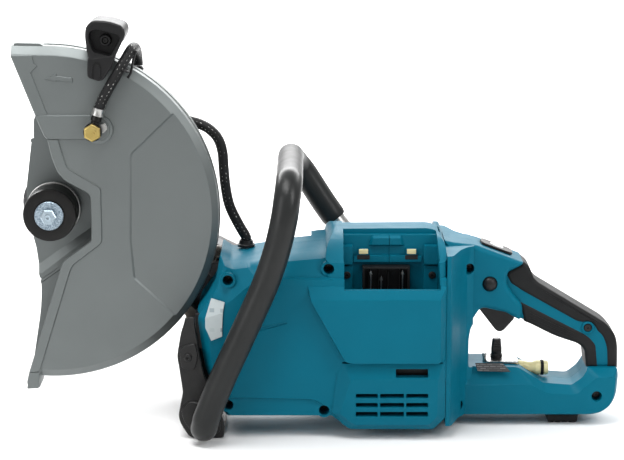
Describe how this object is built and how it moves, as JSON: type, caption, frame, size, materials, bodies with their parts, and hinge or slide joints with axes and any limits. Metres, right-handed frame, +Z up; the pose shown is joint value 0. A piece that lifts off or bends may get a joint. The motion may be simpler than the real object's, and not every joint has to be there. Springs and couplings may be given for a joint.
{
  "type": "rescue saw",
  "caption": "Battery disc cutter with a turning wheel guard, water kit, tubular front handle, belt drive arm and rear trigger handle, shown with no wheel and no batteries fitted.",
  "frame": {"origin": "middle of the saw's box at floor level", "axes": "+X from the wheel guard to the rear handle, +Y from the operator's left side to the drive arm side, +Z up"},
  "size_m": [0.687, 0.2539, 0.4704],
  "materials": {
    "teal_plastic": "moulded, fine satin",
    "cast_grey": "painted magnesium casting, satin",
    "rubber": "soft matt",
    "black_steel": "black coated steel",
    "black_plastic": "matt moulded",
    "steel": "turned steel",
    "zinc_steel": "blue zinc plated",
    "brass": "bare brass",
    "cream_plastic": "moulded",
    "white_plastic": "moulded",
    "wound_core": "laminated core with copper windings",
    "dark_metal": "dark casting"
  },
  "bodies": {
    "saw": {"housing_left": "teal_plastic", "housing_right": "teal_plastic", "bay_plate_left": "teal_plastic", "bay_plate_right": "teal_plastic", "handle_left": "teal_plastic", "handle_right": "teal_plastic", "drive_belt": "rubber", "front_handle_sleeve": "rubber", "hose_main": "rubber", "upper_grip_left": "rubber", "upper_grip_right": "rubber", "lower_grip_left": "rubber", "lower_grip_right": "rubber", "rear_foot": "rubber", "connector_o_ring": "rubber", "front_handle_tube": "black_steel", "front_bracket": "black_steel", "arm_cover": "black_plastic", "terminal_block_left": "black_plastic", "terminal_block_right": "black_plastic", "main_switch": "black_plastic", "control_panel": "black_plastic", "hose_gland": "black_plastic", "spindle_bearing_front": "steel", "spindle_bearing_rear": "steel", "motor_bearing_left": "steel", "motor_bearing_right": "steel", "guard_retainer": "steel", "bracket_screw": "steel", "handle_screw": "steel", "valve_plate": "steel", "trigger_spring": "steel", "water_valve": "brass", "hose_connector": "cream_plastic", "motor_stator": "wound_core", "drive_arm": "dark_metal", "controller": "dark_metal"},
    "guard": {"guard_near": "cast_grey", "guard_far": "cast_grey", "guard_grip": "black_plastic", "guard_grip_screw": "black_steel", "nozzle_near": "brass", "nozzle_far": "brass", "hose_tee": "black_plastic", "hose_near": "rubber", "hose_far": "rubber"},
    "spindle": {"spindle_shaft": "steel", "inner_flange": "steel", "outer_flange": "black_steel", "flange_washer": "zinc_steel", "spindle_bolt": "zinc_steel", "spindle_pulley": "dark_metal"},
    "rotor": {"motor_rotor": "steel", "motor_pulley": "dark_metal", "cooling_fan": "black_plastic"},
    "trigger": {"trigger": "black_plastic"},
    "lock_off_button": {"lock_off_button": "black_plastic"},
    "power_button": {"power_button": "white_plastic"},
    "tap": {"valve_knob": "black_plastic"}
  },
  "joints": [
    {"name": "guard_turn", "type": "hinge", "parent": "saw", "child": "guard", "pos_m": [-0.3035, 0, 0.248], "axis": [0, 1, 0], "range_deg": [-25, 40], "deforming": ["hose_main"]},
    {"name": "spindle_spin", "type": "hinge", "parent": "saw", "child": "spindle", "pos_m": [-0.3035, 0, 0.248], "axis": [0, 1, 0], "continuous": true},
    {"name": "rotor_spin", "type": "hinge", "parent": "saw", "child": "rotor", "pos_m": [-0.0635, 0, 0.115], "axis": [0, 1, 0], "continuous": true},
    {"name": "trigger_pull", "type": "hinge", "parent": "saw", "child": "trigger", "pos_m": [0.1885, 0, 0.141], "axis": [0, -1, 0], "range_deg": [0, 13], "stiffness_Nm_per_rad": 0.6, "springref_deg": -14.32, "deforming": ["trigger_spring"]},
    {"name": "lock_off_press", "type": "slide", "parent": "saw", "child": "lock_off_button", "axis": [0, 1, 0], "range_m": [0, 0.004], "stiffness_N_per_m": 500, "springref_m": -0.003},
    {"name": "power_button_press", "type": "slide", "parent": "saw", "child": "power_button", "axis": [-0.352, 0, -0.936], "range_m": [0, 0.0008], "stiffness_N_per_m": 900, "springref_m": -0.001},
    {"name": "tap_turn", "type": "hinge", "parent": "saw", "child": "tap", "pos_m": [0.2055, 0, 0.0706], "axis": [0, 0, 1], "range_deg": [0, 90]}
  ],
  "couplings": [
    {"joint": "rotor_spin", "follows": "spindle_spin", "ratio": 1.5789}
  ]
}
